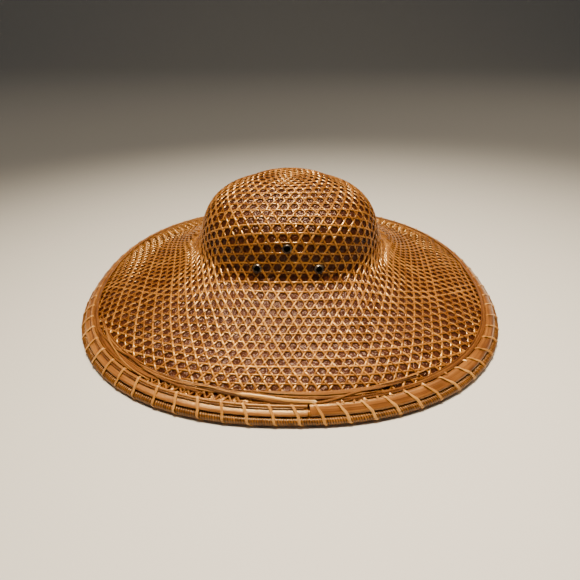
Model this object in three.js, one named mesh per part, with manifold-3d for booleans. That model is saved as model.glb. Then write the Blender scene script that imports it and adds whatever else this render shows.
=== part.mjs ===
// A woven hat: a domed crown that runs out into a wide brim, one wall of bamboo weave over a lining of
// leaf, bound at the rim by a flat hoop and a cane-wrapped rod, with three metal eyelets in front.
// Millimetres, +Z up. The front of the hat faces -Y, and the origin is on the ground under the rim's middle.

import * as THREE from 'three';
import { mergeVertices } from 'three/addons/utils/BufferGeometryUtils.js';
import Module from 'manifold-3d';

const wasm = await Module();
wasm.setup();

// Plan of the rim's outer edge: a squarish oval, an ellipse whose exponent is a little over 2
const RIM_HALF_WIDTH = 219;
const RIM_HALF_DEPTH = 209.5;
const RIM_EXPONENT = 2.3;

// The crown is round, and its middle stands a little behind the rim's middle
const CROWN_BACK = 5;

// At the back the middle of the brim sags below the front's profile, between two radii
const BACK_SAG = 6;
const SAG_FROM = 98;
const SAG_TO = 206;

// Front profile of the weave's outer face. arc: mm from the top of the crown along the surface.
// slope: degrees down from level, changing evenly between the rows.
const FRONT_PROFILE = [
  { arc: 0, slope: 1 },
  { arc: 24, slope: 1 },
  { arc: 44, slope: 25 },
  { arc: 66, slope: 20 },
  { arc: 84, slope: 44 },
  { arc: 100, slope: 64 },
  { arc: 114, slope: 76 },
  { arc: 127, slope: 69 },
  { arc: 140, slope: 30 },
  { arc: 154, slope: 25 },
  { arc: 180, slope: 21 },
  { arc: 215, slope: 18 },
  { arc: 240, slope: 32 },
  { arc: 256, slope: 38 },
];
const EDGE_ARC = 256;
const EDGE_HEIGHT = 7;

// Where the walls have a ring of corners, closer together at the shoulder and at the foot of the crown
const WALL_ARCS = [20, 38, 55, 72, 84, 95, 106, 127, 133, 140, 153, 178, 206, 228, 243];
const AROUND = 60;

// Layers, from the outer face of the weave inwards
const CLEARANCE = 0.3;
const SHELL_WALL = 2;
const LINING_WALL = 1;
const LINING_EDGE_ARC = 252;

// The rod lies outside and below the weave's edge, and is flat where it rests
const ROD_DIAMETER = 6.4;
const ROD_SIDES = 8;
const ROD_RADIUS_FRONT = 211.7;
const RIM_RADIUS_FRONT = ROD_RADIUS_FRONT + ROD_DIAMETER / 2;

// Flat strips laid on the weave near its edge
const HOOP = { from: 246.8, to: 255.6, thick: 2.2 };
const STRIP = { from: 241.6, to: 246.2, thick: 1 };

// Eyelets, by the turn from the front (degrees, positive to +X) and the arc of their middle. Hole, barrel,
// flange and rolled end are radii. The flat flanges stand a little off the curved walls.
const EYELETS = [
  { name: 'eyelet_top', turn: -1.7, arc: 102.6 },
  { name: 'eyelet_left', turn: -18.2, arc: 122.4 },
  { name: 'eyelet_right', turn: 16, arc: 122.4 },
];
const EYELET_HOLE = 2.75;
const EYELET_BARREL = 3.1;
const EYELET_FLANGE = 4.05;
const ROLLED_END = 3.7;
const FLANGE_THICK = 0.7;
const FLANGE_LIFT = 0.5;
const EYELET_SIDES = 16;

const bamboo = new THREE.MeshStandardMaterial({ color: 0xb9793a, roughness: 0.35, metalness: 0 });
const leaf = new THREE.MeshStandardMaterial({ color: 0x6e3a22, roughness: 0.45, metalness: 0 });
const hoopBamboo = new THREE.MeshStandardMaterial({ color: 0xa8642c, roughness: 0.35, metalness: 0 });
const rodCane = new THREE.MeshStandardMaterial({ color: 0x96602f, roughness: 0.4, metalness: 0 });
const darkMetal = new THREE.MeshStandardMaterial({ color: 0x3a3128, roughness: 0.35, metalness: 0.9 });

// Slope of the front profile at an arc, in radians
function slopeAt(arc) {
  const next = FRONT_PROFILE.findIndex((row) => row.arc >= arc);
  if (next <= 0) {
    return THREE.MathUtils.degToRad(FRONT_PROFILE[0].slope);
  }
  const a = FRONT_PROFILE[next - 1];
  const b = FRONT_PROFILE[next];
  const slope = THREE.MathUtils.mapLinear(arc, a.arc, b.arc, a.slope, b.slope);
  return THREE.MathUtils.degToRad(slope);
}

// Radius and drop below the top of the crown at an arc, stepped along the profile
function walkTo(arc) {
  const steps = Math.max(1, Math.round(arc));
  const step = arc / steps;
  let radius = 0;
  let drop = 0;
  for (let i = 0; i < steps; i += 1) {
    const slope = slopeAt((i + 0.5) * step);
    radius += step * Math.cos(slope);
    drop += step * Math.sin(slope);
  }
  return { radius, drop };
}

const CROWN_HEIGHT = EDGE_HEIGHT + walkTo(EDGE_ARC).drop;

// Point of the front profile, below the outer face by a depth, as radius and height
function profilePoint(arc, depth) {
  const slope = slopeAt(arc);
  const { radius, drop } = walkTo(arc);
  if (arc === 0) {
    return new THREE.Vector2(0, CROWN_HEIGHT - depth);
  }
  return new THREE.Vector2(
    radius - depth * Math.sin(slope),
    CROWN_HEIGHT - drop - depth * Math.cos(slope),
  );
}

// Moves a point of the round hat to its place on the real one: the plan passes from the round crown
// to the oval rim, and the back of the brim sags
function place(point) {
  const radius = Math.hypot(point.x, point.y);
  if (radius < 1e-6) {
    return point.set(0, CROWN_BACK, point.z);
  }
  const sine = point.x / radius;
  const cosine = -point.y / radius;
  const share = (radius / RIM_RADIUS_FRONT) ** 2;
  const oval = (Math.abs(sine) / RIM_HALF_WIDTH) ** RIM_EXPONENT
    + (Math.abs(cosine) / RIM_HALF_DEPTH) ** RIM_EXPONENT;
  const ovalRadius = (radius / RIM_RADIUS_FRONT) * oval ** (-1 / RIM_EXPONENT);
  const along = THREE.MathUtils.clamp((radius - SAG_FROM) / (SAG_TO - SAG_FROM), 0, 1);
  const sag = BACK_SAG * Math.sin(Math.PI * along) ** 2 * (1 - cosine) / 2;
  return point.set(
    THREE.MathUtils.lerp(radius, ovalRadius, share) * sine,
    THREE.MathUtils.lerp(CROWN_BACK - radius * cosine, -ovalRadius * cosine, share),
    point.z - sag,
  );
}

// Leaves only position, joins the corners that coincide and drops the triangles that have no area
function closed(geometry) {
  geometry.deleteAttribute('normal');
  geometry.deleteAttribute('uv');
  const merged = mergeVertices(geometry, 1e-4);
  const corners = merged.index.array;
  const kept = [];
  for (let i = 0; i < corners.length; i += 3) {
    const [a, b, c] = corners.slice(i, i + 3);
    if (a !== b && b !== c && c !== a) {
      kept.push(a, b, c);
    }
  }
  merged.setIndex(kept);
  merged.computeVertexNormals();
  return merged;
}

// Turns a profile of radius and height round the crown's axis, then gives it the hat's plan
function roundTheHat(profile) {
  const geometry = new THREE.LatheGeometry(profile, AROUND);
  geometry.rotateX(Math.PI / 2);
  const positions = geometry.attributes.position;
  const point = new THREE.Vector3();
  for (let i = 0; i < positions.count; i += 1) {
    place(point.fromBufferAttribute(positions, i));
    positions.setXYZ(i, point.x, point.y, point.z);
  }
  return closed(geometry);
}

// A wall that covers crown and brim, between two depths below the outer face
function wall(outerDepth, innerDepth, edgeArc) {
  const arcs = [0, ...WALL_ARCS, edgeArc];
  const inside = arcs.map((arc) => profilePoint(arc, innerDepth));
  const outside = arcs.map((arc) => profilePoint(arc, outerDepth)).reverse();
  return roundTheHat([...inside, ...outside]);
}

// A flat strip laid round the hat on the outer face, its upper corners taken off
function laidStrip({ from, to, thick }) {
  const rise = CLEARANCE + thick;
  const corner = thick / 3;
  const outline = [
    profilePoint(from, -CLEARANCE),
    profilePoint(to, -CLEARANCE),
    profilePoint(to, -rise + corner),
    profilePoint(to - corner, -rise),
    profilePoint(from + corner, -rise),
    profilePoint(from, -rise + corner),
  ];
  return roundTheHat([...outline, outline[0].clone()]);
}

// The rod's section has a flat side down, at the height of the ground
function rod() {
  const half = Math.PI / ROD_SIDES;
  const cornerRadius = ROD_DIAMETER / 2 / Math.cos(half);
  const outline = [];
  for (let i = 0; i <= ROD_SIDES; i += 1) {
    const angle = 2 * half * i - Math.PI / 2 - half;
    outline.push(new THREE.Vector2(
      ROD_RADIUS_FRONT + cornerRadius * Math.cos(angle),
      ROD_DIAMETER / 2 + cornerRadius * Math.sin(angle),
    ));
  }
  return roundTheHat(outline);
}

// Place and facing of an eyelet: on the outer face, its axis square to it
function seatOn({ turn, arc }, step = 0.5) {
  const angle = THREE.MathUtils.degToRad(turn);
  const at = (someArc, someAngle) => {
    const { x: radius, y: height } = profilePoint(someArc, 0);
    return place(new THREE.Vector3(radius * Math.sin(someAngle), -radius * Math.cos(someAngle), height));
  };
  const middle = at(arc, angle);
  const down = at(arc + step, angle).sub(at(arc - step, angle));
  const across = at(arc, angle + step / 100).sub(at(arc, angle - step / 100));
  const outwards = down.cross(across).normalize();
  const turned = new THREE.Quaternion().setFromUnitVectors(new THREE.Vector3(0, 1, 0), outwards);
  return new THREE.Matrix4().compose(middle, turned, new THREE.Vector3(1, 1, 1));
}

// A rolled eyelet: a flange outside, the barrel through both layers, and a rolled end inside
function eyelet() {
  const front = FLANGE_LIFT;
  const back = -(SHELL_WALL + CLEARANCE + LINING_WALL + FLANGE_LIFT);
  const outline = [
    [EYELET_HOLE, back - FLANGE_THICK],
    [ROLLED_END, back - FLANGE_THICK],
    [ROLLED_END, back],
    [EYELET_BARREL, back],
    [EYELET_BARREL, front],
    [EYELET_FLANGE, front],
    [EYELET_FLANGE - 0.15, front + FLANGE_THICK / 2],
    [(EYELET_FLANGE + EYELET_HOLE) / 2, front + FLANGE_THICK],
    [EYELET_HOLE, front + FLANGE_THICK / 2],
    [EYELET_HOLE, back - FLANGE_THICK],
  ];
  return closed(new THREE.LatheGeometry(outline.map(([r, h]) => new THREE.Vector2(r, h)), EYELET_SIDES));
}

function toSolid(geometry) {
  return new wasm.Manifold(new wasm.Mesh({
    numProp: 3,
    vertProperties: new Float32Array(geometry.attributes.position.array),
    triVerts: new Uint32Array(geometry.index.array),
  }));
}

function toGeometry(solid) {
  const mesh = solid.getMesh();
  const geometry = new THREE.BufferGeometry();
  geometry.setAttribute('position', new THREE.BufferAttribute(mesh.vertProperties, 3));
  geometry.setIndex(new THREE.BufferAttribute(mesh.triVerts, 1));
  geometry.computeVertexNormals();
  return geometry;
}

// Opens a wall where the eyelets' barrels pass through it
function pierced(geometry) {
  const drill = new THREE.CylinderGeometry(EYELET_BARREL + CLEARANCE, EYELET_BARREL + CLEARANCE, 16, 12);
  let solid = toSolid(geometry);
  for (const seat of EYELETS) {
    solid = solid.subtract(toSolid(closed(drill.clone()).applyMatrix4(seatOn(seat))));
  }
  return toGeometry(solid);
}

const hat = new THREE.Group();

function addPiece(name, geometry, material, matrix) {
  const mesh = new THREE.Mesh(geometry, material);
  mesh.name = name;
  if (matrix) {
    matrix.decompose(mesh.position, mesh.quaternion, mesh.scale);
  }
  hat.add(mesh);
}

const liningDepth = SHELL_WALL + CLEARANCE;
addPiece('woven_shell', pierced(wall(0, SHELL_WALL, EDGE_ARC)), bamboo);
addPiece('leaf_lining', pierced(wall(liningDepth, liningDepth + LINING_WALL, LINING_EDGE_ARC)), leaf);
addPiece('rim_hoop', laidStrip(HOOP), hoopBamboo);
addPiece('rim_rod', rod(), rodCane);
addPiece('edge_strip', laidStrip(STRIP), hoopBamboo);
for (const seat of EYELETS) {
  addPiece(seat.name, eyelet(), darkMetal, seatOn(seat));
}

export default hat;
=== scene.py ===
import math

import bpy
import numpy as np
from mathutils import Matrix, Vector


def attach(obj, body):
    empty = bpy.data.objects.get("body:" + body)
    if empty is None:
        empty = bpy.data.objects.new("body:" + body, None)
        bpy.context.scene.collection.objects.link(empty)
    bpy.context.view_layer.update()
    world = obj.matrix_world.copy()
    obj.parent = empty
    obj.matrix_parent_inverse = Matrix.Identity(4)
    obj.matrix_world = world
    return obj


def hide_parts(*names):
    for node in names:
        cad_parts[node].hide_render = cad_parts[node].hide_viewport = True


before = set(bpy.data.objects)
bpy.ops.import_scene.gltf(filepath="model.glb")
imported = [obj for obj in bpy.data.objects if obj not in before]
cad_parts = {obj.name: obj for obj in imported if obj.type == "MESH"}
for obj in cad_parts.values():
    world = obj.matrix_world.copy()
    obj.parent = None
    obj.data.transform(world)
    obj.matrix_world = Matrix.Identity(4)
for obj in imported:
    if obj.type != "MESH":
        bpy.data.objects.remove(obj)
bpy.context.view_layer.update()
bpy.ops.object.select_all(action="DESELECT")

# The camera stands where the photograph was taken from: close in front of the hat and well above the
# floor, looking down at it.
LOOKS_DOWN = 32.2         # degrees below level
bpy.ops.object.camera_add(location=(0, -0.4317, 0.2634), rotation=(math.radians(90 - LOOKS_DOWN), 0, 0))
camera = bpy.context.object
camera.data.sensor_width = 36
camera.data.lens = 27.0
bpy.context.scene.camera = camera


# The weave: split bamboo, varnished honey brown. Strips of three directions cross in open hexagons, each
# over the one neighbour and under the other. It starts from five sides round a hole at the top of the
# crown, so each of the five bundles below is laid square to its own side and crosses the rest.
MM = 0.001
STRIP_WIDTH = 2.15
STRIP_THICK = 0.5
STRIP_SWING = 0.27        # how far a strip moves up and down between its crossings
STRIP_CLEAR = 0.03        # the highest strip lies that far under the hat's outside
STEPS_PER_HOLE = 6
SHORTEST_RUN = 3
WEAVE_EDGE = 255.4        # an arc, measured down the hat from the crown's top, as all arcs are here
RIM_ARC = 256
RIM_HEIGHT = 7
CROWN_BACK = 5            # the crown stands that far behind the rim's middle
RIM_RADIUS_FRONT = 214.9
RIM_HALF_WIDTH = 219
RIM_HALF_DEPTH = 209.5
RIM_SQUARENESS = 2.3      # 2 would be an ellipse
SAG_FROM = 98
SAG_TO = 206
BACK_SAG = 6
FRONT_SLOPES = np.array([
    (0, 1), (24, 1), (44, 25), (66, 20), (84, 44), (100, 64), (114, 76), (127, 69), (140, 30), (154, 25),
    (180, 21), (215, 18), (240, 32), (256, 38), (275, 38),
], float)

walk_arc = np.linspace(0, 275, 5501)
walk_slope = np.radians(np.interp(walk_arc, FRONT_SLOPES[:, 0], FRONT_SLOPES[:, 1]))


def walked(rate):
    steps = (rate[1:] + rate[:-1]) / 2 * np.diff(walk_arc)
    return np.concatenate([[0], np.cumsum(steps)])


walk_radius = walked(np.cos(walk_slope))
walk_drop = walked(np.sin(walk_slope))
crown_height = RIM_HEIGHT + np.interp(RIM_ARC, walk_arc, walk_drop)


def hat_plan(radius, turn, height):
    """Place on the real hat, in mm, of a point of the round one: an oval rim and a back that sags."""
    sine, cosine = np.sin(turn), np.cos(turn)
    share = (radius / RIM_RADIUS_FRONT) ** 2
    oval = ((np.abs(sine) / RIM_HALF_WIDTH) ** RIM_SQUARENESS
            + (np.abs(cosine) / RIM_HALF_DEPTH) ** RIM_SQUARENESS)
    oval_radius = radius / RIM_RADIUS_FRONT * oval ** (-1 / RIM_SQUARENESS)
    along = np.clip((radius - SAG_FROM) / (SAG_TO - SAG_FROM), 0, 1)
    sag = BACK_SAG * np.sin(np.pi * along) ** 2 * (1 - cosine) / 2
    x = ((1 - share) * radius + share * oval_radius) * sine
    y = (1 - share) * (CROWN_BACK - radius * cosine) - share * oval_radius * cosine
    return np.stack([x, y, height - sag], -1)


def front_section(arc, depth):
    """Radius and height, in mm, of a point of the round hat: its arc and its depth under the outside."""
    slope = np.interp(arc, walk_arc, walk_slope)
    radius = np.interp(arc, walk_arc, walk_radius) - depth * np.sin(slope)
    return radius, crown_height - np.interp(arc, walk_arc, walk_drop) - depth * np.cos(slope)


def skin(arc, turn, depth=0.0):
    """Point of the real hat, in mm: its arc, its turn from the front and its depth under the outside."""
    radius, height = front_section(arc, depth)
    return hat_plan(np.maximum(radius, 0), turn, height)


def unit(vectors):
    return vectors / np.maximum(np.linalg.norm(vectors, axis=-1, keepdims=True), 1e-9)


def skin_normal(arc, turn):
    """Direction straight out of the hat. The very top is taken as level."""
    step_arc, step_turn, level_arc = 0.4, 0.004, 1.5
    down = skin(arc + step_arc, turn) - skin(np.maximum(arc - step_arc, 0), turn)
    across = skin(arc, turn + step_turn) - skin(arc, turn - step_turn)
    outwards = unit(np.cross(down, across))
    outwards[np.asarray(arc) < level_arc] = (0, 0, 1)
    return outwards


# Where the holes lie, counted in holes from the top. For each arc: the count along the front and its
# changes round the hat, then the changes of the bearing.
HOLE_LAY = np.array([
    (0, 0, 0, 0, 0, 0, 0, 0, 0, 0, -0.04, 0, 0),
    (8, 1.242, 0.033, -0.02, -0.017, 0.004, 0.008, -0.053, 0.022, 0.008, -0.03, -0.01, -0.006),
    (18, 2.751, 0.065, -0.045, -0.034, 0.006, 0.016, -0.114, 0.046, 0.016, -0.018, -0.019, -0.01),
    (32, 4.729, 0.084, -0.082, -0.048, 0.006, 0.023, -0.178, 0.067, 0.019, -0.002, -0.024, -0.002),
    (55, 7.639, 0.044, -0.151, -0.042, -0.006, 0.027, -0.251, 0.052, 0.018, 0.011, -0.026, 0.024),
    (80, 10.436, -0.096, -0.278, -0.015, -0.027, 0.022, -0.184, 0.018, 0.012, 0.013, -0.03, 0.027),
    (105, 13.121, -0.277, -0.457, 0.025, -0.032, 0.023, -0.105, -0.077, 0.054, 0.009, -0.024, 0.024),
    (125, 15.349, -0.408, -0.631, 0.043, -0.022, 0.035, -0.051, -0.15, 0.059, 0.008, -0.012, 0.016),
    (145, 17.682, -0.511, -0.822, 0.013, -0.014, 0.044, 0.061, -0.093, -0.027, 0.011, 0.001, -0.004),
    (170, 20.587, -0.601, -1.016, -0.073, -0.009, 0.046, -0.046, 0.016, -0.006, 0.009, 0.007, -0.009),
    (200, 23.932, -0.63, -1.074, -0.178, -0.003, 0.038, -0.131, 0.041, 0.011, 0, 0.024, -0.014),
    (230, 27.331, -0.552, -0.99, -0.293, -0.011, 0.011, -0.131, -0.01, 0.025, -0.007, 0.032, -0.016),
    (256, 30.329, -0.444, -0.87, -0.349, -0.024, -0.019, -0.126, -0.077, 0.057, -0.015, 0.036, -0.008),
])
BEARING_SHARE = 5 / 6     # five sides of a lattice that has six
LAY_END = 280             # the lay is carried on past the edge that far
SOFTENED = 8              # bends of the lay are rounded over so many mm

lay_arc = np.arange(0, LAY_END + 1.0)
last_step = HOLE_LAY[-1] - HOLE_LAY[-2]
past_edge = HOLE_LAY[-1] + last_step * (LAY_END - HOLE_LAY[-1, 0]) / last_step[0]
lay_rows = np.vstack([HOLE_LAY, past_edge])
soft_window = np.hanning(2 * SOFTENED + 1)[1:-1]
soft_window = soft_window / soft_window.sum()
lay = []
for column in range(1, lay_rows.shape[1]):
    line = np.interp(lay_arc, lay_rows[:, 0], lay_rows[:, column])
    before = 2 * line[0] - line[SOFTENED:0:-1]
    after = 2 * line[-1] - line[-2:-2 - SOFTENED:-1]
    longer = np.concatenate([before, line, after])
    lay.append(np.convolve(longer, soft_window, "same")[SOFTENED:-SOFTENED])


def holes_from_top(arc, turn):
    """How many holes away from the crown's top a point lies, and on which bearing."""
    at = [np.interp(arc, lay_arc, line) for line in lay]
    count = (at[0] + at[1] * np.cos(turn) + at[2] * np.cos(2 * turn) + at[3] * np.cos(3 * turn)
             + at[4] * np.sin(turn) + at[5] * np.sin(2 * turn))
    bearing = (BEARING_SHARE * turn + at[6] * np.sin(turn) + at[7] * np.sin(2 * turn)
               + at[8] * np.sin(3 * turn) + at[9] + at[10] * np.cos(turn) + at[11] * np.cos(2 * turn))
    return count, bearing


def on_the_hat(count, bearing):
    """Arc and turn of the point that lies so many holes from the top on a bearing, by Newton's steps."""
    step_arc, step_turn = 0.2, 0.003
    most_arc, most_turn = 12, 0.25
    arc = np.interp(count, lay[0], lay_arc)
    turn = bearing / BEARING_SHARE
    for _ in range(14):
        c0, b0 = holes_from_top(arc, turn)
        c1, b1 = holes_from_top(arc + step_arc, turn)
        c2, b2 = holes_from_top(arc, turn + step_turn)
        ca, ba = (c1 - c0) / step_arc, (b1 - b0) / step_arc
        ct, bt = (c2 - c0) / step_turn, (b2 - b0) / step_turn
        det = ca * bt - ct * ba
        miss_c, miss_b = count - c0, bearing - b0
        arc = arc + np.clip((miss_c * bt - miss_b * ct) / det, -most_arc, most_arc)
        arc = np.clip(arc, 0.05, LAY_END - 2)
        turn = turn + np.clip((miss_b * ca - miss_c * ba) / det, -most_turn, most_turn)
    return arc, turn


def joined_mesh(name, grids, tones, alongs, ring=False, sharp=38):
    """One mesh of many strands. Each grid holds rings of corners, (rings, corners, 3) in mm.

    A ring joins its last corners to its first; any other strand gets a flat end on both sides. The tone
    is one number for a strand, or one for each ring of corners. Faces meet sharply above so many degrees.
    """
    corners, loops, sizes, uvs, tone_of = [], [], [], [], []
    first = 0
    for grid, tone, along in zip(grids, tones, alongs):
        rings, round_it = grid.shape[:2]
        steps = np.arange(rings if ring else rings - 1)
        j = np.arange(round_it)
        here, after = steps[:, None] * round_it, ((steps + 1) % rings)[:, None] * round_it
        quads = np.stack([here + j, here + (j + 1) % round_it, after + (j + 1) % round_it, after + j], -1)
        loops.append((quads + first).reshape(-1))
        sizes.append(np.full(quads.shape[0] * round_it, 4))
        if ring:
            along_after = np.append(along[1:], 2 * along[-1] - along[-2])
        else:
            along_after = along[1:]
        ua, ub = along[:len(steps), None] + 0 * j, along_after[:, None] + 0 * j
        va, vb = (0 * ua + j) / round_it, (0 * ua + j + 1) / round_it
        uvs.append(np.stack([ua, va, ua, vb, ub, vb, ub, va], -1).reshape(-1, 2))
        if not ring:
            for cap, u in ((j[::-1], along[0]), ((rings - 1) * round_it + j, along[-1])):
                loops.append(cap + first)
                sizes.append(np.array([round_it]))
                uvs.append(np.stack([np.full(round_it, u), j / round_it], -1))
        corners.append(grid.reshape(-1, 3))
        tone_of.append(np.broadcast_to(np.asarray(tone, float)[..., None], (rings, round_it)).reshape(-1))
        first += rings * round_it
    corners, loops, sizes = np.concatenate(corners), np.concatenate(loops), np.concatenate(sizes)
    uvs, tone_of = np.concatenate(uvs), np.concatenate(tone_of)
    starts = np.concatenate([[0], np.cumsum(sizes)[:-1]])
    a, b, c = (corners[loops[starts + k]] for k in range(3))
    if np.einsum("ij,ij->i", a, np.cross(b, c)).sum() < 0:
        order = np.concatenate([np.arange(s + n - 1, s - 1, -1) for s, n in zip(starts, sizes)])
        loops, uvs = loops[order], uvs[order]
    mesh = bpy.data.meshes.new(name)
    mesh.vertices.add(len(corners))
    mesh.vertices.foreach_set("co", (corners * MM).astype(np.float32).ravel())
    mesh.loops.add(len(loops))
    mesh.loops.foreach_set("vertex_index", loops.astype(np.int32))
    mesh.polygons.add(len(sizes))
    mesh.polygons.foreach_set("loop_start", starts.astype(np.int32))
    mesh.update(calc_edges=True)
    mesh.polygons.foreach_set("use_smooth", np.ones(len(sizes), bool))
    mesh.set_sharp_from_angle(angle=math.radians(sharp))
    mesh.uv_layers.new(name="strand").data.foreach_set("uv", uvs.astype(np.float32).ravel())
    mesh.attributes.new("tone", "FLOAT", "POINT").data.foreach_set("value", tone_of.astype(np.float32))
    mesh.validate()
    piece = bpy.data.objects.new(name, mesh)
    bpy.context.scene.collection.objects.link(piece)
    return piece


def laid_along(centres, outwards, section, widths=None):
    """Rings of corners of a strand: its section, (side, up) pairs in mm, carried along its middle."""
    ahead = unit(np.gradient(centres, axis=0))
    side = unit(np.cross(outwards, ahead))
    up = np.cross(ahead, side)
    across = section[:, 0] if widths is None else section[None, :, 0] * widths[:, None]
    across = np.broadcast_to(across, (len(centres), len(section)))
    return centres[:, None] + side[:, None] * across[..., None] + up[:, None] * section[None, :, 1, None]


class Wire:
    """A socket of a material that takes part in sums."""

    def __init__(self, finish, socket):
        self.finish = finish
        self.socket = socket

    def sum(self, operation, *others):
        sockets = dict(enumerate((self, *others)))
        return self.finish.node("ShaderNodeMath", {"operation": operation}, sockets)

    def __add__(self, other):
        return self.sum("ADD", other)

    __radd__ = __add__

    def __mul__(self, other):
        return self.sum("MULTIPLY", other)

    __rmul__ = __mul__

    def __sub__(self, other):
        return self.sum("SUBTRACT", other)

    def __rsub__(self, other):
        return self.finish.node("ShaderNodeMath", {"operation": "SUBTRACT"}, {0: other, 1: self})

    def clipped(self):
        return self.sum("MINIMUM", 1.0).sum("MAXIMUM", 0.0)


class Finish:
    """A material with one Principled shader. node() adds any other node and gives its output."""

    def __init__(self, name, **steady):
        self.material = bpy.data.materials.new(name)
        self.material.use_nodes = True
        self.tree = self.material.node_tree
        self.tree.nodes.clear()
        output = self.tree.nodes.new("ShaderNodeOutputMaterial")
        self.shader = self.tree.nodes.new("ShaderNodeBsdfPrincipled")
        self.tree.links.new(self.shader.outputs[0], output.inputs["Surface"])
        for socket, value in steady.items():
            self.shader.inputs[socket.replace("_", " ")].default_value = value

    def node(self, kind, settings=None, sockets=None, output=0):
        node = self.tree.nodes.new(kind)
        for key, value in (settings or {}).items():
            if key == "stops":
                for i, (place, colour) in enumerate(value):
                    stops = node.color_ramp.elements
                    stop = stops[i] if i < len(stops) else stops.new(place)
                    stop.position, stop.color = place, (*colour, 1)
            else:
                setattr(node, key, value)
        for key, value in (sockets or {}).items():
            self.feed(value, node.inputs[key])
        return Wire(self, node.outputs[output])

    def feed(self, value, socket):
        if isinstance(value, Wire):
            self.tree.links.new(value.socket, socket)
        else:
            socket.default_value = value

    def drive(self, **sockets):
        for socket, value in sockets.items():
            self.feed(value, self.shader.inputs[socket.replace("_", " ")])

    def strand(self):
        """Along the strand in cm, round it from 0 to 1, and the strand's tone, which for some strands
        holds painted shade too.
        """
        uv = self.node("ShaderNodeUVMap", {"uv_map": "strand"})
        along = self.node("ShaderNodeSeparateXYZ", {}, {0: uv})
        around = Wire(self, along.socket.node.outputs["Y"])
        tone = self.node("ShaderNodeAttribute", {"attribute_name": "tone"}, output="Fac")
        return along, around, tone

    def at(self, x, y, z=0.0):
        return self.node("ShaderNodeCombineXYZ", {}, {0: x, 1: y, 2: z})

    def noise(self, place, scale, detail=2.0, rough=0.5):
        return self.node("ShaderNodeTexNoise", {}, {"Vector": place, "Scale": scale, "Detail": detail,
                                                    "Roughness": rough})

    def ramp(self, factor, stops):
        return self.node("ShaderNodeValToRGB", {"stops": stops}, {0: factor})

    def bump(self, height, distance, strength=1.0):
        return self.node("ShaderNodeBump", {}, {"Height": height, "Distance": distance,
                                                "Strength": strength})


strip_bamboo = Finish("varnished_bamboo_strips", IOR=1.6, Specular_IOR_Level=1.0, Coat_Weight=0.05,
                      Coat_Roughness=0.10, Specular_Tint=(1.0, 0.60, 0.20, 1))
along, around, tone = strip_bamboo.strand()
fibre = strip_bamboo.noise(strip_bamboo.at(along * 0.6, around * 26, tone * 40), 1.0, 3.0, 0.6)
patch = strip_bamboo.noise(strip_bamboo.at(along * 0.35, around * 1.5, tone * 91), 1.0, 2.0)
# Painted shade: the strips' colour darkens from the middle of their top towards both edges and the
# underside, so the top's middle is lightest.
shade_from_top_middle = (around - 1 / 3) * 3
shade = (tone * 0.62 + fibre * 0.3 + patch * 0.42 - shade_from_top_middle * shade_from_top_middle * 0.42 - 0.12).clipped()
honey = strip_bamboo.ramp(shade, [
    (0.0, (0.042, 0.011, 0.003)), (0.35, (0.165, 0.053, 0.010)),
    (0.65, (0.390, 0.152, 0.027)), (1.0, (0.700, 0.355, 0.080)),
])
strip_bamboo.drive(Base_Color=honey, Roughness=0.31 - fibre * 0.16,
                   Normal=strip_bamboo.bump(fibre, 0.00005, 0.7))

half = STRIP_WIDTH / 2
strip_section = np.array([
    (half, -0.24), (half * 0.62, 0.15), (0, 0.34), (-half * 0.62, 0.15), (-half, -0.24), (0, -0.28),
])

EYELET_SEATS = {"eyelet_top": (102.6, -1.7), "eyelet_left": (122.4, -18.2), "eyelet_right": (122.4, 16.0)}
EYELET_CLEAR = 3.5        # strips end that far from an eyelet's middle
EYELET_REACH = 12         # and what lies deeper than this is the far side of the crown
seats = {}
for seat_name, (seat_arc, seat_turn) in EYELET_SEATS.items():
    place_at = np.array([seat_arc]), np.array([math.radians(seat_turn)])
    seats[seat_name] = skin(*place_at)[0], skin_normal(*place_at)[0]

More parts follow.
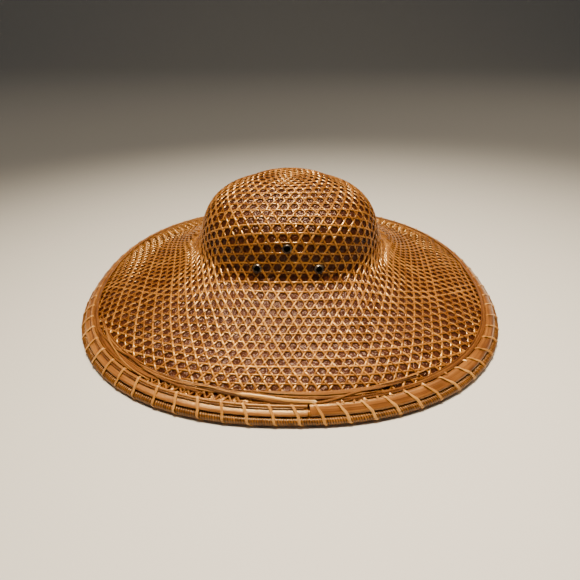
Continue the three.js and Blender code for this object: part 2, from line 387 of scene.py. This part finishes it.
rng = np.random.default_rng(11)
ROW = math.sqrt(3) / 2    # from one strip of a bundle to the next, in holes
MOST_HOLES = 33.0
LEVEL_PAINTED_SHADE = 0.12       # painted shade on the bundles whose strips run level across the front: they are darker, as the lamps catch them less than the slanting strips
LEVEL_BUNDLES = ("weave_front", "weave_right", "weave_left")
BUNDLES = ["weave_front", "weave_right", "weave_back_right", "weave_back_left", "weave_left"]
for bundle, bundle_name in enumerate(BUNDLES):
    facing = bundle * math.pi / 3
    grids, tones, alongs = [], [], []
    for number in range(int(MOST_HOLES / ROW)):
        offset = (number + 0.5) * ROW
        reach = math.sqrt(max(MOST_HOLES ** 2 - offset ** 2, 0))
        t = np.arange(-reach, reach, 1 / STEPS_PER_HOLE)
        # Each strip's tone is random, less the painted shade for the bundles that run level across the
        # front.
        tone_and_painted_shade = rng.uniform(0.3, 0.95) - LEVEL_PAINTED_SHADE * (bundle_name in LEVEL_BUNDLES)
        wobble = rng.uniform(0, 6.28, 2)
        if len(t) < STEPS_PER_HOLE:
            continue
        arc, turn = on_the_hat(np.hypot(t, offset), facing + np.arctan2(t, offset))
        wave = np.cos(2 * np.pi * (t - 0.25 - number / 2))
        depth = STRIP_THICK / 2 + STRIP_CLEAR + STRIP_SWING * (1 - wave)
        centres = skin(arc, turn, depth)
        drift = 0.10 * np.sin(t * 0.45 + wobble[0]) + 0.08 * np.sin(t * 1.13 + wobble[1])
        sideways = unit(np.cross(skin_normal(arc, turn), np.gradient(centres, axis=0)))
        centres = centres + drift[:, None] * sideways
        kept = arc < WEAVE_EDGE
        for middle, axis in seats.values():
            away = centres - middle
            rise = away @ axis
            beside = np.linalg.norm(away - rise[:, None] * axis, axis=1)
            kept &= (beside > EYELET_CLEAR) | (rise < -EYELET_REACH)
        cuts = np.flatnonzero(np.diff(kept.astype(int))) + 1
        for run in np.split(np.arange(len(t)), cuts):
            if kept[run[0]] and len(run) > SHORTEST_RUN:
                grids.append(laid_along(centres[run], skin_normal(arc[run], turn[run]), strip_section))
                step = np.linalg.norm(np.diff(centres[run], axis=0), axis=1)
                alongs.append(np.concatenate([[0], np.cumsum(step)]) / 10 + number * 7)
                tones.append(tone_and_painted_shade)
    strips = joined_mesh(bundle_name, grids, tones, alongs)
    strips.data.materials.append(strip_bamboo.material)
    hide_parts("woven_shell")
    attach(strips, "root")


# The leaf lining: broad dried leaves, red-brown, laid under the weave from the crown's top to the rim.
# Each overlaps the next, so that no light comes through the holes.
LEAVES = 26
LEAF_STEPS = 12
LEAF_TOP = 1.26           # depth of its outer face
LEAF_LAP = 0.32
LEAF_THICK = 0.45
PUNCH_RADIUS = 0.0033     # of the holes for the eyelets, in metres
PUNCH_DEPTH = 0.014
leaf_arc = np.concatenate([np.linspace(0, 36, 10)[:-1], np.linspace(36, 252, 64)])
leaf_turn = np.arange(LEAVES * LEAF_STEPS) / (LEAVES * LEAF_STEPS) * 2 * np.pi
turn_grid, arc_grid = np.meshgrid(leaf_turn, leaf_arc, indexing="ij")
edge_wander = 0.05 * np.sin(arc_grid / 31) + 0.035 * np.sin(arc_grid / 13 + 2)
across_leaf = (turn_grid * LEAVES / (2 * np.pi) + edge_wander * 4) % 1
lap = LEAF_LAP * np.minimum(across_leaf, (1 - across_leaf) * 8) * np.clip(arc_grid / 30, 0, 1)
ripple = 0.05 * np.sin(turn_grid * 61 + arc_grid / 9) * np.sin(arc_grid / 17)
outside = skin(arc_grid, turn_grid, LEAF_TOP + lap + ripple)
inside = skin(arc_grid, turn_grid, LEAF_TOP + LEAF_THICK + lap + ripple)
leaf_grid = np.concatenate([outside, inside[:, ::-1]], axis=1)


def leaf_mesh(name, grid):
    """A wall whose outer and inner faces meet at the top and at the edge, from lines down the hat."""
    turns, rows = grid.shape[:2]
    index = np.arange(turns * rows).reshape(turns, rows)
    after = np.roll(index, -1, axis=0)
    quads = np.stack([index, np.roll(index, -1, axis=1), np.roll(after, -1, axis=1), after], -1)
    mesh = bpy.data.meshes.new(name)
    mesh.from_pydata((grid.reshape(-1, 3) * MM).tolist(), [], quads.reshape(-1, 4).tolist())
    piece = bpy.data.objects.new(name, mesh)
    bpy.context.scene.collection.objects.link(piece)
    return piece


leaves = leaf_mesh("leaf_blades", leaf_grid)
for lay_name, lay_values in (("leaf_along", arc_grid / 10), ("leaf_across", across_leaf)):
    on_both_faces = np.concatenate([lay_values, lay_values[:, ::-1]], axis=1).reshape(-1)
    lay_attribute = leaves.data.attributes.new(lay_name, "FLOAT", "POINT")
    lay_attribute.data.foreach_set("value", on_both_faces.astype(np.float32))
bpy.context.view_layer.objects.active = leaves
leaves.select_set(True)
bpy.ops.object.mode_set(mode="EDIT")
bpy.ops.mesh.select_all(action="SELECT")
bpy.ops.mesh.remove_doubles(threshold=0.00002)
bpy.ops.mesh.normals_make_consistent(inside=False)
bpy.ops.object.mode_set(mode="OBJECT")
bpy.ops.object.shade_smooth_by_angle(angle=math.radians(40))
for middle, axis in seats.values():
    tilt = Vector((0, 0, 1)).rotation_difference(Vector(axis))
    bpy.ops.mesh.primitive_cylinder_add(vertices=28, radius=PUNCH_RADIUS, depth=PUNCH_DEPTH,
                                        location=middle * MM, rotation=tilt.to_euler())
    punch = bpy.context.object
    bpy.context.view_layer.objects.active = leaves
    cut = leaves.modifiers.new("eyelet_hole", "BOOLEAN")
    cut.object, cut.operation, cut.solver = punch, "DIFFERENCE", "EXACT"
    bpy.ops.object.modifier_apply(modifier="eyelet_hole")
    bpy.data.objects.remove(punch, do_unlink=True)
leaves.select_set(False)

leaf = Finish("dried_leaf", IOR=1.5, Specular_IOR_Level=0.4, Specular_Tint=(1.0, 0.70, 0.55, 1))
leaf_along = leaf.node("ShaderNodeAttribute", {"attribute_name": "leaf_along"}, output="Fac")
leaf_across = leaf.node("ShaderNodeAttribute", {"attribute_name": "leaf_across"}, output="Fac")
spot = leaf.node("ShaderNodeTexCoord", output="Object")
vein = leaf.noise(leaf.at(leaf_along * 0.25, leaf_across * 22), 1.0, 3.0, 0.6)
blotch = leaf.noise(spot, 55.0, 3.0)
# Partly painted shade: the leaf's red-brown is kept darker than its own colour, so that the holes of the
# weave look shaded.
leaf_colour = leaf.ramp((vein * 0.6 + blotch * 0.55 - 0.1).clipped(), [
    (0.0, (0.012, 0.003, 0.001)), (0.45, (0.048, 0.012, 0.004)), (1.0, (0.130, 0.036, 0.011)),
])
crumple = leaf.noise(spot, 330.0, 3.0, 0.6)
leaf.drive(Base_Color=leaf_colour, Roughness=0.24 - vein * 0.14,
           Normal=leaf.bump(vein * 0.25 + crumple, 0.0016, 1.0))
leaves.data.materials.append(leaf.material)
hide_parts("leaf_lining")
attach(leaves, "root")


# The hoop: split bamboo on top of the weave's edge. The left half is golden, in three strands side by
# side, and the right half is one broad strand, dark and full of fine grain. They meet in front.
HOOP_FROM = 246.8
HOOP_TO = 255.6
HOOP_THICK = 2.2
LAID_ABOVE = 0.3
STEP_DEGREES = 0.75
RIM_CM = 21               # about the rim's radius, for grain that follows the rim
round_corner = [(0.08, 0), (0.92, 0), (1.0, 0.4), (0.93, 0.78), (0.74, 0.98), (0.5, 1.04), (0.26, 0.98),
                (0.07, 0.78), (0.0, 0.4)]
flat_corner = [(0.02, 0), (0.975, 0), (0.985, -0.3), (1.035, -0.25), (1.035, 0.3), (0.99, 0.68),
               (0.89, 0.94), (0.68, 1.03), (0.45, 1.0), (0.22, 0.96), (0.05, 0.84), (0.01, 0.6),
               (0.0, 0.35)]
tilted_corner = [(0.02, 0), (0.955, 0), (0.965, -0.3), (1.05, -0.25), (1.05, 0.4), (0.99, 0.84),
                 (0.89, 1.04), (0.68, 1.0), (0.46, 0.88), (0.24, 0.72), (0.05, 0.54), (0.0, 0.35)]
# Each strand: its two ends in degrees from the front, its share of the hoop's width, section and tone
# The narrow middle strand on the left is darker: partly the strand's own colour, partly painted shade of
# the groove between the two broad strands.
HOOP_LAYS = [
    (-175.5, 4.0, 0.0, 0.26, round_corner, 0.66), (-175.5, 3.6, 0.27, 0.42, round_corner, 0.30),
    (-175.5, 4.1, 0.43, 1.0, tilted_corner, 0.60), (4.3, 184.0, 0.0, 1.0, flat_corner, 0.52),
]
hoop_grids, hoop_tones, hoop_alongs = [], [], []
for number, (begin, end, inner, outer, corner, tone_of_strand) in enumerate(HOOP_LAYS):
    turn = np.radians(np.arange(begin, end, STEP_DEGREES))
    wander = 0.10 * np.sin(turn * 9 + number * 2) * (corner is round_corner)
    rows = []
    for share, rise in corner:
        arc_at = HOOP_FROM + wander + (inner + share * (outer - inner)) * (HOOP_TO - HOOP_FROM)
        thick = (HOOP_THICK - 0.12 * (number % 3)) * rise + 0.06 * np.sin(turn * 13 + number) * rise
        rows.append(skin(arc_at, turn, -(LAID_ABOVE + thick)))
    hoop_grids.append(np.stack(rows, 1))
    hoop_tones.append(tone_of_strand)
    hoop_alongs.append(turn * RIM_CM + number * 9)
hoop = joined_mesh("hoop_strands", hoop_grids, hoop_tones, hoop_alongs, sharp=50)

hoop_bamboo = Finish("split_bamboo_hoop", IOR=1.6, Specular_IOR_Level=0.8, Coat_Weight=0.08,
                     Coat_Roughness=0.12, Specular_Tint=(1.0, 0.70, 0.32, 1))
along, around, tone = hoop_bamboo.strand()
grain = hoop_bamboo.noise(hoop_bamboo.at(along * 0.12, around * 60, tone * 20), 1.0, 3.0, 0.65)
cloud = hoop_bamboo.noise(hoop_bamboo.at(along * 0.5, around * 3, tone * 7), 1.0, 2.0)
shade = (tone * 0.64 + (grain - 0.5) * 1.2 + (cloud - 0.5) * 0.4).clipped()
hoop_colour = hoop_bamboo.ramp(shade, [
    (0.0, (0.035, 0.009, 0.004)), (0.24, (0.150, 0.046, 0.012)),
    (0.48, (0.370, 0.142, 0.030)), (0.78, (0.640, 0.320, 0.080)), (1.0, (0.860, 0.620, 0.300)),
])
hoop_bamboo.drive(Base_Color=hoop_colour, Roughness=0.36 - grain * 0.14,
                  Normal=hoop_bamboo.bump(grain, 0.00012, 0.8))
hoop.data.materials.append(hoop_bamboo.material)
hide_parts("rim_hoop")
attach(hoop, "root")


# The rod: a round cane core wound all round with two fine strips of split cane. It lies under and just
# outside the weave's edge, below the hoop, and the hat rests on it.
ROD_RADIUS_FRONT = 211.7
ROD_CORE = 2.85
ROD_HEIGHT = 3.75
WRAP_THICK = 0.3
WRAP_STARTS = 2
WRAP_TURNS = 330
WRAP_STEPS = 14
WRAP_TONES = 260
CORE_STEPS = 480
CORE_SIDES = 12


def round_the_rod(turn, angle, radius):
    """Point beside the rod's middle line, at an angle in its section: 0 is outwards, 90 degrees is up."""
    return hat_plan(ROD_RADIUS_FRONT + radius * np.cos(angle), turn, ROD_HEIGHT + radius * np.sin(angle))


turn = np.arange(CORE_STEPS) / CORE_STEPS * 2 * np.pi
angle = np.arange(CORE_SIDES) / CORE_SIDES * 2 * np.pi
core_grid = round_the_rod(*np.meshgrid(turn, angle, indexing="ij"), ROD_CORE)
# Painted shade: the core's tone lies below the ramp, so it shows nearly black in the gaps between the
# wrap's turns.
core = joined_mesh("rod_core", [core_grid], [-0.4], [turn * RIM_CM], ring=True, sharp=60)

wrap_grids, wrap_tones, wrap_alongs = [], [], []
wrap_section = np.array([(0.68, -0.22), (0.5, 0.12), (0, 0.3), (-0.5, 0.12), (-0.68, -0.22), (0, -0.24)])
for start in range(WRAP_STARTS):
    steps = np.arange(WRAP_TURNS * WRAP_STEPS)
    turn = (steps / WRAP_STEPS + start / WRAP_STARTS) / WRAP_TURNS * 2 * np.pi
    angle = -steps / WRAP_STEPS * 2 * np.pi
    lift = WRAP_THICK / 2 + 0.03 * np.sin(turn * 47)
    centres = round_the_rod(turn, angle, ROD_CORE + lift)
    outwards = unit(round_the_rod(turn, angle, ROD_CORE + 1) - round_the_rod(turn, angle, ROD_CORE))
    wrap_grids.append(laid_along(centres, outwards, wrap_section))
    tone_places = np.linspace(0, len(steps), WRAP_TONES)
    # The wrap's tones are kept low: partly the cane's own darker colour, partly painted shade under the
    # hoop.
    wrap_tones.append(np.interp(steps, tone_places, rng.uniform(0.0, 0.5, WRAP_TONES)))
    wrap_alongs.append(steps / WRAP_STEPS * 2)
wrap = joined_mesh("rod_wrap", wrap_grids, wrap_tones, wrap_alongs, sharp=50)

cane = Finish("split_cane", IOR=1.55, Specular_Tint=(1.0, 0.74, 0.40, 1))
along, around, tone = cane.strand()
cane_fibre = cane.noise(cane.at(along * 1.5, around * 12, tone * 5), 1.0, 3.0, 0.6)
cane_colour = cane.ramp((tone * 0.6 + cane_fibre * 0.5 - 0.05).clipped(), [
    (0.0, (0.030, 0.009, 0.003)), (0.2, (0.120, 0.042, 0.009)), (0.5, (0.300, 0.115, 0.022)),
    (0.75, (0.500, 0.220, 0.045)), (1.0, (0.780, 0.440, 0.140)),
])
cane.drive(Base_Color=cane_colour, Roughness=0.38 - cane_fibre * 0.14,
           Normal=cane.bump(cane_fibre, 0.00006, 0.7))
for piece in (core, wrap):
    piece.data.materials.append(cane.material)
    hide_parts("rim_rod")
    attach(piece, "root")


# The strip beside the hoop: split bamboo laid on the weave, in long flat strands. On the left it is two
# strands wide; on the right it has split into thinner ones that part a little.
EDGE_FROM = 241.6
EDGE_TO = 246.2
flat_section = [(0, 0), (1, 0), (1, 0.6), (0.9, 1), (0.1, 1), (0, 0.6)]
edge_grids, edge_tones, edge_alongs = [], [], []
# Each strand: its two ends in degrees, its share of the strip's width, its thickness and its tone
EDGE_LAYS = [
    (-176, -31, 0.10, 0.58, 0.95, 0.46), (-176, -33, 0.62, 0.98, 0.9, 0.38),
    (6, 178, 0.70, 0.98, 0.9, 0.36), (9, 176, 0.36, 0.62, 0.8, 0.5), (30, 168, 0.04, 0.26, 0.75, 0.3),
    (-46, -30, 0.0, 0.22, 0.8, 0.5), (-10, 2.5, 0.40, 0.62, 0.5, 0.3), (-12, 3, 0.80, 0.99, 0.6, 0.45),
]
for number, (start, stop, inner, outer, thick, tone_of_strip) in enumerate(EDGE_LAYS):
    turn = np.radians(np.arange(start, stop, STEP_DEGREES))
    sway = 0.25 * np.sin(turn * 5 + number) * (number > 0)
    taper = np.clip(np.minimum(turn - turn[0], turn[-1] - turn) / 0.05, 0.25, 1)
    middle = EDGE_FROM + (inner + outer) / 2 * (EDGE_TO - EDGE_FROM) + sway
    breadth = (outer - inner) * (EDGE_TO - EDGE_FROM) * taper
    thinned = thick * (0.4 + 0.6 * taper)
    rows = [skin(middle + (share - 0.5) * breadth, turn, -(LAID_ABOVE + rise * thinned))
            for share, rise in flat_section]
    edge_grids.append(np.stack(rows, 1))
    edge_tones.append(tone_of_strip)
    edge_alongs.append(turn * RIM_CM)
edge = joined_mesh("edge_strands", edge_grids, edge_tones, edge_alongs, sharp=50)
edge.data.materials.append(hoop_bamboo.material)
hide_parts("edge_strip")
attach(edge, "root")


# The selvedge: between the last row of holes and the strip, thin strands follow the rim in place of the
# open weave. They are pressed together, cross each other at shallow angles and lie over the strips' ends.
selvedge_grids, selvedge_tones, selvedge_alongs = [], [], []
lane_section = np.array([(0.5, -0.16), (0.3, 0.2), (-0.3, 0.2), (-0.5, -0.16), (0, -0.26)])
LANES_FROM = 237.6
# Each lane: its arc, and where it begins and ends in degrees
SELVEDGE_LANES = [
    (237.4, -66, 40), (238.6, -63, 34), (239.8, -60, 28), (241.1, -57, -10), (241.3, -3, 20),
    (242.3, -54, -36), (242.4, 0, 14),
]
for lane, (lane_arc, begin, lane_end) in enumerate(SELVEDGE_LANES):
    while begin < lane_end - 5:
        length = rng.uniform(18, 40)
        turn = np.radians(np.arange(begin, min(begin + length, lane_end), 0.7))
        share = np.linspace(0, 1, len(turn))
        wander = rng.uniform(-0.5, 0.5) * (share - 0.5) * 2 + 0.2 * np.sin(turn * 9 + lane)
        lift = -(0.18 + 0.12 * (lane_arc - LANES_FROM) + 0.16 * np.sin(turn * 64 + lane * 2.1))
        ends = np.clip(np.minimum(share, 1 - share) * length / 6, 0.35, 1)
        breadth = rng.uniform(1.0, 1.7) * ends
        selvedge_grids.append(laid_along(skin(lane_arc + wander, turn, lift),
                                         skin_normal(lane_arc + wander, turn), lane_section, breadth))
        selvedge_tones.append(rng.uniform(0.05, 0.75))
        selvedge_alongs.append(turn * RIM_CM + rng.uniform(0, 30))
        begin += length - 3
selvedge = joined_mesh("selvedge_strands", selvedge_grids, selvedge_tones, selvedge_alongs)
selvedge.data.materials.append(hoop_bamboo.material)
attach(selvedge, "root")


# Slivers: long flat splinters of bamboo at the front and the front left, where the strands of the rim
# were finished off by hand, and the cut or turned-back ends of the slanting strips between them. The
# widest sliver ends torn beside the hoop's joint.
TORN_WIDTH = 2.4
# Each sliver: turn in degrees and arc of both ends, width, tone and height above the weave
SLIVERS = [
    (-23, 237.4, 1.5, 246.2, 1.9, 0.12, 1.0), (-23, 236.6, 1.0, 245.0, 0.8, 0.85, 1.3),
    (-13, 239.6, 6.0, 245.2, 2.6, 0.95, 1.7), (-12, 241.6, 3.0, 246.6, 1.5, 0.2, 1.2),
    (-7, 237.6, 24, 240.0, 2.2, 0.55, 1.2), (5.0, 246.3, 17, 239.4, 1.6, 0.45, 1.4),
    (7.5, 247.0, 21, 243.0, 1.1, 0.25, 1.3), (-58, 236.5, -39, 245.6, 1.3, 0.75, 1.3),
    (-60, 243.8, -42, 237.4, 1.2, 0.5, 1.6), (-55, 239.0, -33, 246.0, 1.0, 0.85, 1.9),
    (-44, 237.5, -19, 243.8, 1.5, 0.35, 1.5), (-37, 240.5, -15, 238.0, 0.9, 0.8, 1.9),
]
sliver_grids, sliver_tones, sliver_alongs = [], [], []
for number, (turn_a, arc_a, turn_b, arc_b, width, tone_of_strip, raised) in enumerate(SLIVERS):
    share = np.linspace(0, 1, 40)
    turn = np.radians(turn_a + (turn_b - turn_a) * share)
    arc = arc_a + (arc_b - arc_a) * share + 0.35 * np.sin(share * 8 + number)
    lift = -(raised + 0.4 * np.sin(share * np.pi))
    blunt = 60 if width > TORN_WIDTH else 9
    widths = 0.15 + 0.85 * np.clip(np.minimum(share * 9, (1 - share) * blunt), 0, 1)
    half = width / 2
    sliver_section = np.array([
        (half, -0.12), (half * 0.7, 0.14), (-half * 0.7, 0.14), (-half, -0.12), (0, -0.2),
    ])
    sliver_grids.append(laid_along(skin(arc, turn, lift), skin_normal(arc, turn), sliver_section, widths))
    torn = (0.75 * np.clip(share * 12 - 11, 0, 1)) * (width > TORN_WIDTH)
    sliver_tones.append(tone_of_strip + torn)
    sliver_alongs.append(share * 8 + number)

# Cut ends of the slanting strips, which show beside the hoop
TIPS_FROM = 244.9
TIP_LENGTH = 2.6
TIP_TURNS = (-15, -12.2, -9.6, 11.5, 14.2, 16.6, 19.5, 22.6, 26, 31, -27, -36, 38, 45)
tip_section = np.array([(1.05, -0.15), (0.7, 0.18), (-0.7, 0.18), (-1.05, -0.15), (0, -0.24)])
for number, tip_turn in enumerate(TIP_TURNS):
    lean = 1 if number % 2 else -1
    share = np.linspace(0, 1, 5)
    turn = np.radians(tip_turn + lean * 0.55 * (share - 0.5))
    arc = TIPS_FROM + TIP_LENGTH * share
    tip = laid_along(skin(arc, turn, -0.9 - 2.1 * share ** 2), skin_normal(arc, turn), tip_section,
                     1 - 0.45 * share ** 2)
    sliver_grids.append(tip)
    sliver_tones.append(0.9 + 0.1 * lean)
    sliver_alongs.append(share + number * 3)

# The zigzag of the last slanting strips, turned back under the hoop, at the front left
FOLDS = 24
FOLDS_FROM = 242.2
FOLD_LENGTH = 4.6
FOLDS_TURN = -34.0
FOLD_PITCH = 0.98
FOLD_LEAN = 0.992
fold_section = np.array([(0.7, -0.15), (0.45, 0.15), (-0.45, 0.15), (-0.7, -0.15), (0, -0.22)])
for number in range(FOLDS):
    lean = 1 if number % 2 else -1
    share = np.linspace(0, 1, 7)
    turn = np.radians(FOLDS_TURN + number * FOLD_PITCH + lean * FOLD_LEAN * (share - 0.5))
    arc = FOLDS_FROM + FOLD_LENGTH * share
    fold = laid_along(skin(arc, turn, -0.5 - 0.12 * lean), skin_normal(arc, turn), fold_section)
    sliver_grids.append(fold)
    sliver_tones.append(0.62 + 0.1 * lean)
    sliver_alongs.append(share + number * 2)

slivers = joined_mesh("rim_slivers", sliver_grids, sliver_tones, sliver_alongs)
slivers.data.materials.append(hoop_bamboo.material)
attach(slivers, "root")


# The lashing: one flat strand of light cane that winds round hoop, weave and rod in wide slanting turns
# and holds them together. It goes down between the hoop and the strip beside it.
LASH_TURNS = 69
LASH_STEPS = 36
LASH_WIDTH = 2.4
LASH_START = math.radians(1.0)


def beside_rod(degrees, gap):
    """Radius and height of a point at a small gap from the wrapped rod, at an angle in its section."""
    angle = math.radians(degrees)
    reach = ROD_CORE + WRAP_THICK + gap
    return ROD_RADIUS_FRONT + reach * math.cos(angle), ROD_HEIGHT + reach * math.sin(angle)


# Section of the path, from the hoop's inner edge outwards and down round the rod. The last value counts
# the advance along the rim: up to 1 it's the advance over the top, from 1 to 2 the one underneath.
lash_path = [
    (front_section(247.0, -2.80), 0.02), (front_section(249.0, -2.90), 0.20),
    (front_section(251.5, -2.92), 0.42), (front_section(254.0, -2.85), 0.64),
    (front_section(255.9, -2.30), 0.80), (beside_rod(42, 0.40), 0.90), (beside_rod(5, 0.34), 1.0),
    (beside_rod(-35, 0.30), 1.12), (beside_rod(-70, 0.26), 1.25), (beside_rod(-110, 0.24), 1.38),
    (beside_rod(-150, 0.30), 1.50), (front_section(251.0, 3.9), 1.66), (front_section(247.6, 3.8), 1.82),
    (front_section(246.3, 2.4), 1.91), (front_section(246.35, 0.4), 1.97),
    (front_section(246.45, -1.7), 1.99),
]
knots = np.array([(r, z, share) for (r, z), share in lash_path])
legs = np.linalg.norm(np.diff(np.vstack([knots[:, :2], knots[:1, :2]]), axis=0), axis=1)
knot_at = np.concatenate([[0], np.cumsum(legs)[:-1]]) / legs.sum()
wound = np.arange(LASH_TURNS * LASH_STEPS) / LASH_STEPS
fine = np.arange(-1, 2, 1 / 400)
lash_lines = []
for column, jump in ((0, 0), (1, 0), (2, 2)):
    at_knots = np.concatenate([knots[:, column] + jump * k for k in (-1, 0, 1)])
    line = np.interp(fine, np.concatenate([knot_at + k for k in (-1, 0, 1)]), at_knots)
    lash_lines.append(np.convolve(line, np.hanning(25) / np.hanning(25).sum(), "same"))
share = wound % 1
lash_radius, lash_height, advance = (np.interp(share, fine, line) for line in lash_lines)
uneven = np.interp(wound, np.arange(LASH_TURNS + 1), rng.uniform(-0.06, 0.06, LASH_TURNS + 1))
# The slant over the top changes round the hat: it is widest at the right and almost gone at the left
over_top = 0.30 + 0.36 * np.sin(LASH_START + wound / LASH_TURNS * 2 * np.pi)
whole, part = np.floor(advance / 2), advance % 2
made = whole + over_top * np.minimum(part, 1) + (1 - over_top) * np.maximum(part - 1, 0)
lash_turn = LASH_START + (np.floor(wound) + made - over_top / 2 + uneven) / LASH_TURNS * 2 * np.pi
lash_centres = hat_plan(lash_radius, lash_turn, lash_height)
inner_radius, inner_height = (np.full_like(wound, knots[:, column].mean()) for column in (0, 1))
inner = hat_plan(inner_radius, lash_turn, inner_height)
half = LASH_WIDTH / 2
lash_section = np.array([
    (half, -0.12), (half * 0.6, 0.17), (-half * 0.6, 0.17), (-half, -0.12), (-half * 0.8, -0.22),
    (half * 0.8, -0.22),
])
lash_grid = laid_along(lash_centres, unit(lash_centres - inner), lash_section)
lash_tone = np.interp(wound, np.arange(LASH_TURNS + 1), rng.uniform(0.75, 1.1, LASH_TURNS + 1))
lashing = joined_mesh("cane_lashing", [lash_grid], [lash_tone], [wound * 4], sharp=50)
lashing.data.materials.append(cane.material)
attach(lashing, "root")


# The eyelets: three small rolled rings of dark brass in the front of the crown, set through weave and
# leaf, for air. The barrel passes through both layers and is rolled over inside.
metal = Finish("dark_brass", IOR=1.5, Metallic=1.0)
spot = metal.node("ShaderNodeTexCoord", output="Object")
tarnish = metal.noise(spot, 900.0, 4.0, 0.6)
metal_colour = metal.ramp(tarnish, [
    (0.3, (0.100, 0.085, 0.070)), (0.6, (0.300, 0.250, 0.190)), (0.8, (0.620, 0.520, 0.380)),
])
metal.drive(Base_Color=metal_colour, Roughness=0.16 + tarnish * 0.26)
RING_STEPS = 40
# Radius and height above the seat, from the lip rolled over inside to the two lips of the flange
ring_section = [
    (2.75, -4.5), (3.15, -4.68), (3.62, -4.4), (3.7, -4.05), (3.55, -3.75), (3.1, -3.72), (3.08, 0.5),
    (4.1, 0.52), (4.4, 0.72), (4.28, 1.05), (4.0, 1.0), (3.65, 0.98), (3.35, 1.3), (2.95, 1.22),
    (2.75, 0.8),
]
for seat_name, (middle, axis) in seats.items():
    tilt = Vector((0, 0, 1)).rotation_difference(Vector(axis))
    turns = np.arange(RING_STEPS) / RING_STEPS * 2 * np.pi
    rows = []
    for radius, rise in ring_section:
        flat = np.stack([radius * np.cos(turns), radius * np.sin(turns), np.full(RING_STEPS, rise)], -1)
        rows.append(flat @ np.array(tilt.to_matrix()).T + middle)
    grid = np.stack(rows, 1)
    ring_piece = joined_mesh(seat_name + "_ring", [grid], [0.5], [turns], ring=True, sharp=50)
    ring_piece.data.materials.append(metal.material)
    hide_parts(seat_name)
    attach(ring_piece, "root")


# A plain pale floor that curves up behind, and three lamps above: one over the hat, which the varnish
# reflects, and a broad one on each side. Lengths are in metres here.
FLOOR_HALF = 6
CURVE_FROM = 2.4
CURVE = 1.6
sweep = [(-5.0, 0.0)] + [(y, 0.0) for y in np.linspace(-2, CURVE_FROM, 12)]
sweep += [(CURVE_FROM + CURVE * math.sin(a), CURVE - CURVE * math.cos(a))
          for a in np.linspace(0.08, math.pi / 2, 20)]
sweep += [(4.0, 5.0)]
sheet = [(x, y, z) for y, z in sweep for x in (-FLOOR_HALF, FLOOR_HALF)]
floor_mesh = bpy.data.meshes.new("studio_floor")
floor_faces = [(2 * i, 2 * i + 1, 2 * i + 3, 2 * i + 2) for i in range(len(sweep) - 1)]
floor_mesh.from_pydata(sheet, [], floor_faces)
floor_mesh.polygons.foreach_set("use_smooth", np.ones(len(floor_faces), bool))
floor = bpy.data.objects.new("studio_floor", floor_mesh)
bpy.context.scene.collection.objects.link(floor)
pale = Finish("pale_floor", Roughness=0.8)
pale.drive(Base_Color=(0.72, 0.71, 0.69, 1))
floor.data.materials.append(pale.material)

world = bpy.data.worlds.new("studio")
bpy.context.scene.world = world
world.use_nodes = True
world.node_tree.nodes["Background"].inputs["Color"].default_value = (1.0, 0.98, 0.95, 1)
world.node_tree.nodes["Background"].inputs["Strength"].default_value = 0.06

LAMP_COLOUR = (1.0, 0.84, 0.62)
# Each lamp: its place, size, power in watts, spread in degrees and the point it shines at
LAMPS = [
    ("ceiling_lamp", (-0.16, 0.36, 2.4), (0.50, 0.36), 8.6, 40, (0.08, -0.24, 0.0)),
    ("ceiling_lamp_right", (1.05, 0.28, 2.1), (0.7, 0.5), 11, 180, (0, 0, 0.05)),
    ("ceiling_lamp_left", (-1.05, 0.28, 2.1), (0.7, 0.5), 3.5, 180, (0, 0, 0.05)),
]
for lamp_name, lamp_at, (wide, deep), power, spread, aim in LAMPS:
    bpy.ops.object.light_add(type="AREA", location=lamp_at)
    lamp = bpy.context.object
    lamp.name = lamp_name
    lamp.data.shape = "RECTANGLE"
    lamp.data.size = wide
    lamp.data.size_y = deep
    lamp.data.energy = power
    lamp.data.color = LAMP_COLOUR
    lamp.data.spread = math.radians(spread)
    lamp.rotation_euler = (Vector(aim) - Vector(lamp_at)).to_track_quat("-Z", "Y").to_euler()
